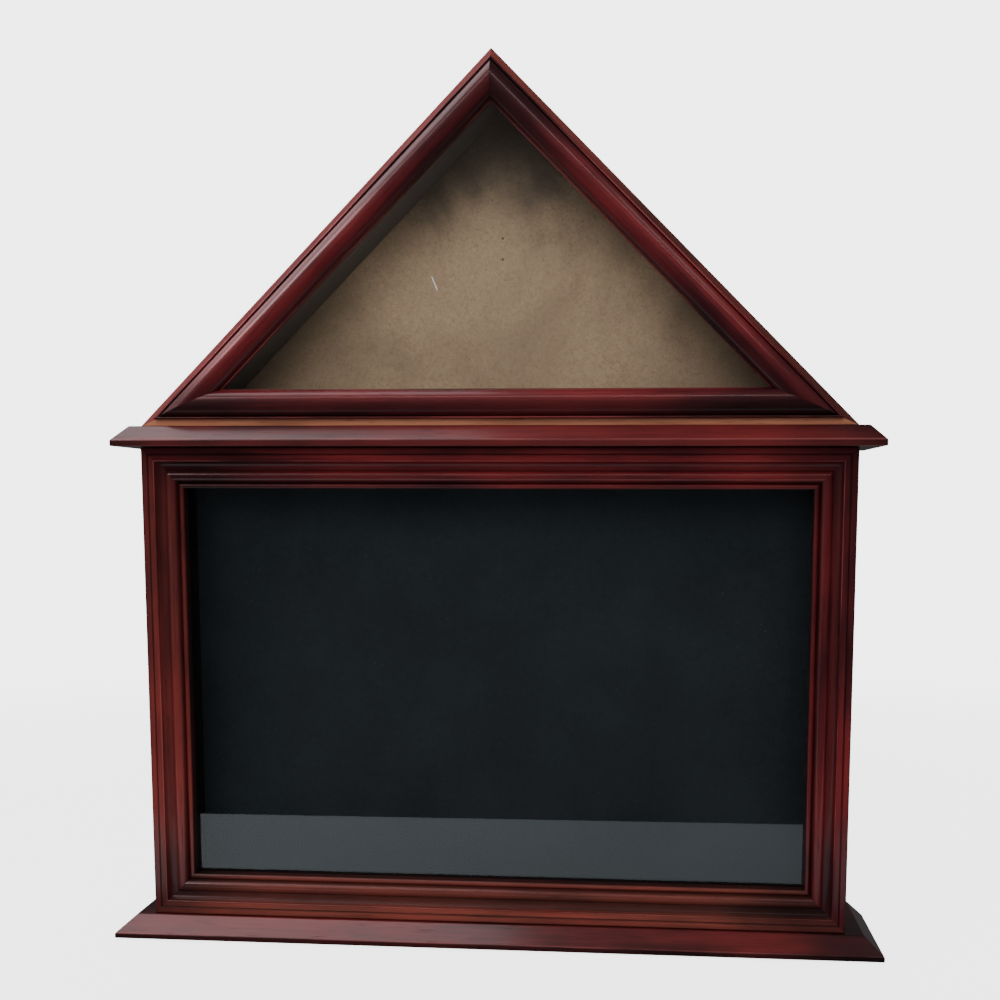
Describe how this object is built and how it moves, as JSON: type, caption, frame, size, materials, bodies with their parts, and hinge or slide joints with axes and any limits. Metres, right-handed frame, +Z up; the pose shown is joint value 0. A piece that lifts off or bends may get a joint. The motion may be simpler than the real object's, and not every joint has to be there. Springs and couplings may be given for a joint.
{
  "type": "folded flag display case",
  "caption": "Gabled wooden case: a glazed triangular compartment for a folded flag over a glazed shadow box on a plinth, opened from behind by turn buttons.",
  "frame": {"origin": "under the middle of the case's overall box, on the surface its pads stand on", "axes": "+Z up, +Y from the glazed front towards the back panels, +X to the right as seen from the front"},
  "size_m": [0.726, 0.1178, 0.819],
  "materials": {
    "cherry_wood": "dark cherry stain under gloss lacquer",
    "raw_hardboard": "unfinished tan hardboard",
    "clear_glass": "clear window glass",
    "black_felt": "short-pile black felt",
    "pad_felt": "pressed brown felt",
    "brass_plate": "brass-plated steel",
    "zinc_steel": "zinc-plated steel"
  },
  "bodies": {
    "case": {"plinth_board": "cherry_wood", "crown_board": "cherry_wood", "box_side_left": "cherry_wood", "box_side_right": "cherry_wood", "box_floor_board": "cherry_wood", "box_top_board": "cherry_wood", "box_frame_left": "cherry_wood", "box_frame_right": "cherry_wood", "box_frame_top": "cherry_wood", "box_frame_bottom": "cherry_wood", "box_bead_left": "cherry_wood", "box_bead_right": "cherry_wood", "box_bead_top": "cherry_wood", "box_bead_bottom": "cherry_wood", "roof_board_left": "cherry_wood", "roof_board_right": "cherry_wood", "flag_floor_board": "cherry_wood", "flag_frame_left": "cherry_wood", "flag_frame_right": "cherry_wood", "flag_frame_bottom": "cherry_wood", "flag_bead_left": "cherry_wood", "flag_bead_right": "cherry_wood", "flag_bead_bottom": "cherry_wood", "box_back_panel": "raw_hardboard", "display_board": "raw_hardboard", "flag_back_panel": "raw_hardboard", "box_glass": "clear_glass", "flag_glass": "clear_glass", "felt_lining": "black_felt", "pad_front_left": "pad_felt", "pad_front_right": "pad_felt", "pad_back_left": "pad_felt", "pad_back_right": "pad_felt", "box_button_left_screw": "brass_plate", "box_button_right_screw": "brass_plate", "box_button_top_left_screw": "brass_plate", "box_button_top_right_screw": "brass_plate", "box_button_bottom_left_screw": "brass_plate", "box_button_bottom_right_screw": "brass_plate", "flag_button_left_screw": "brass_plate", "flag_button_right_screw": "brass_plate", "flag_button_bottom_left_screw": "brass_plate", "flag_button_bottom_right_screw": "brass_plate", "hanger_strap": "zinc_steel", "hanger_screw_upper": "zinc_steel", "hanger_screw_lower": "zinc_steel"},
    "box_button_left": {"box_button_left": "brass_plate"},
    "box_button_right": {"box_button_right": "brass_plate"},
    "box_button_top_left": {"box_button_top_left": "brass_plate"},
    "box_button_top_right": {"box_button_top_right": "brass_plate"},
    "box_button_bottom_left": {"box_button_bottom_left": "brass_plate"},
    "box_button_bottom_right": {"box_button_bottom_right": "brass_plate"},
    "flag_button_left": {"flag_button_left": "brass_plate"},
    "flag_button_right": {"flag_button_right": "brass_plate"},
    "flag_button_bottom_left": {"flag_button_bottom_left": "brass_plate"},
    "flag_button_bottom_right": {"flag_button_bottom_right": "brass_plate"},
    "hanger_ring": {"hanger_ring": "zinc_steel"}
  },
  "joints": [
    {"name": "box_button_left_turn", "type": "hinge", "parent": "case", "child": "box_button_left", "pos_m": [-0.324, 0.0541, 0.2456], "axis": [0, 1, 0], "continuous": true},
    {"name": "box_button_right_turn", "type": "hinge", "parent": "case", "child": "box_button_right", "pos_m": [0.324, 0.0541, 0.2456], "axis": [0, 1, 0], "continuous": true},
    {"name": "box_button_top_left_turn", "type": "hinge", "parent": "case", "child": "box_button_top_left", "pos_m": [-0.165, 0.0541, 0.4636], "axis": [0, 1, 0], "continuous": true},
    {"name": "box_button_top_right_turn", "type": "hinge", "parent": "case", "child": "box_button_top_right", "pos_m": [0.165, 0.0541, 0.4636], "axis": [0, 1, 0], "continuous": true},
    {"name": "box_button_bottom_left_turn", "type": "hinge", "parent": "case", "child": "box_button_bottom_left", "pos_m": [-0.165, 0.0541, 0.0276], "axis": [0, 1, 0], "continuous": true},
    {"name": "box_button_bottom_right_turn", "type": "hinge", "parent": "case", "child": "box_button_bottom_right", "pos_m": [0.165, 0.0541, 0.0276], "axis": [0, 1, 0], "continuous": true},
    {"name": "flag_button_left_turn", "type": "hinge", "parent": "case", "child": "flag_button_left", "pos_m": [-0.15776, 0.0541, 0.65296], "axis": [0, 1, 0], "continuous": true},
    {"name": "flag_button_right_turn", "type": "hinge", "parent": "case", "child": "flag_button_right", "pos_m": [0.15776, 0.0541, 0.65296], "axis": [0, 1, 0], "continuous": true},
    {"name": "flag_button_bottom_left_turn", "type": "hinge", "parent": "case", "child": "flag_button_bottom_left", "pos_m": [-0.132, 0.0541, 0.4952], "axis": [0, 1, 0], "continuous": true},
    {"name": "flag_button_bottom_right_turn", "type": "hinge", "parent": "case", "child": "flag_button_bottom_right", "pos_m": [0.132, 0.0541, 0.4952], "axis": [0, 1, 0], "continuous": true},
    {"name": "hanger_ring_swing", "type": "hinge", "parent": "case", "child": "hanger_ring", "pos_m": [0, 0.05615, 0.684], "axis": [1, 0, 0], "range_deg": [0, 180]}
  ]
}
